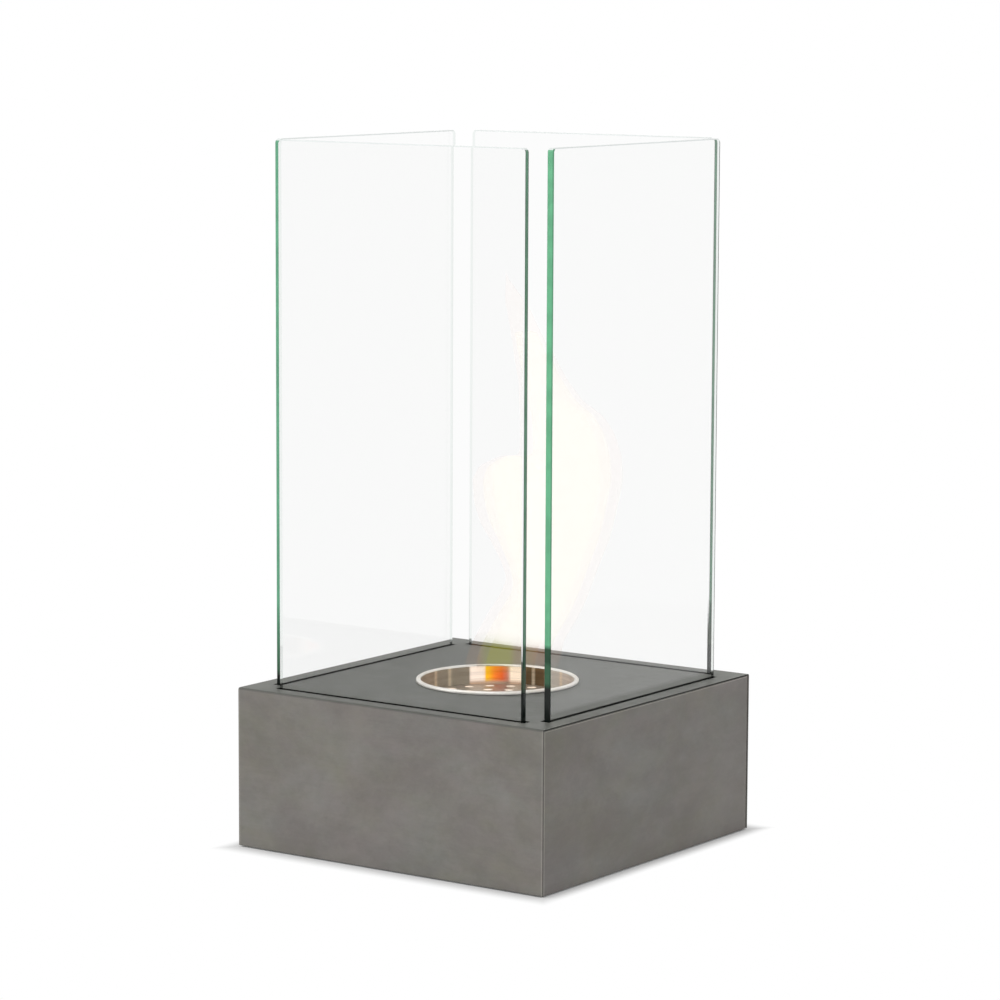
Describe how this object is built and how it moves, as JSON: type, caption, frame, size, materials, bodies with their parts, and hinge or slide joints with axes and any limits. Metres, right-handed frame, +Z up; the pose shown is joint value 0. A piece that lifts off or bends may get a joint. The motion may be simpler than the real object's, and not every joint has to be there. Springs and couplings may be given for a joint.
{
  "type": "bioethanol fireplace",
  "caption": "Free-standing fireplace for liquid fuel: a low square casing of bent sheet steel with a round burner in its top and upright panes of glass round the flame.",
  "frame": {"origin": "middle of the square plan, on the surface that the feet stand on", "axes": "+Z up; -Y towards the wide face with the folded upper edge, called the front; +X towards the side panel on the right"},
  "size_m": [0.25, 0.25, 0.478],
  "materials": {
    "casing_steel": "grey-brown cold-rolled steel, cloudy, lightly brushed and clear lacquered",
    "plain_steel": "zinc plated, dull",
    "black_steel": "sheet steel, matt black lacquer",
    "stainless": "bright drawn stainless steel with fine turning lines",
    "screw_steel": "bright zinc plate",
    "clear_glass": "clear float glass with ground edges, green through the edge",
    "silicone": "matt, translucent white",
    "foot_rubber": "matt black",
    "ceramic_wool": "matted white fibre"
  },
  "bodies": {
    "base": {"casing_shell": "casing_steel", "side_panel_right": "casing_steel", "side_panel_left": "casing_steel", "glass_channel_front": "black_steel", "glass_channel_right": "black_steel", "glass_channel_back": "black_steel", "glass_channel_left": "black_steel", "glass_strip_front": "silicone", "glass_strip_right": "silicone", "glass_strip_back": "silicone", "glass_strip_left": "silicone", "bottom_plate": "plain_steel", "corner_bracket_front_left": "plain_steel", "corner_bracket_front_right": "plain_steel", "corner_bracket_back_right": "plain_steel", "corner_bracket_back_left": "plain_steel", "foot_front_left": "foot_rubber", "foot_front_right": "foot_rubber", "foot_back_right": "foot_rubber", "foot_back_left": "foot_rubber", "foot_screw_front_left": "screw_steel", "foot_screw_front_right": "screw_steel", "foot_screw_back_right": "screw_steel", "foot_screw_back_left": "screw_steel"},
    "burner": {"burner_cup": "stainless", "burner_cover": "stainless", "ceramic_wool": "ceramic_wool"},
    "pane_front": {"glass_front": "clear_glass"},
    "pane_right": {"glass_right": "clear_glass"},
    "pane_back": {"glass_back": "clear_glass"},
    "pane_left": {"glass_left": "clear_glass"}
  },
  "joints": [
    {"name": "burner_lift", "type": "slide", "parent": "base", "child": "burner", "axis": [0, 0, 1], "range_m": [0, 0.43]},
    {"name": "glass_front_lift", "type": "slide", "parent": "base", "child": "pane_front", "axis": [0, 0, 1], "range_m": [0, 0.04]},
    {"name": "glass_right_lift", "type": "slide", "parent": "base", "child": "pane_right", "axis": [0, 0, 1], "range_m": [0, 0.04]},
    {"name": "glass_back_lift", "type": "slide", "parent": "base", "child": "pane_back", "axis": [0, 0, 1], "range_m": [0, 0.04]},
    {"name": "glass_left_lift", "type": "slide", "parent": "base", "child": "pane_left", "axis": [0, 0, 1], "range_m": [0, 0.04]}
  ]
}
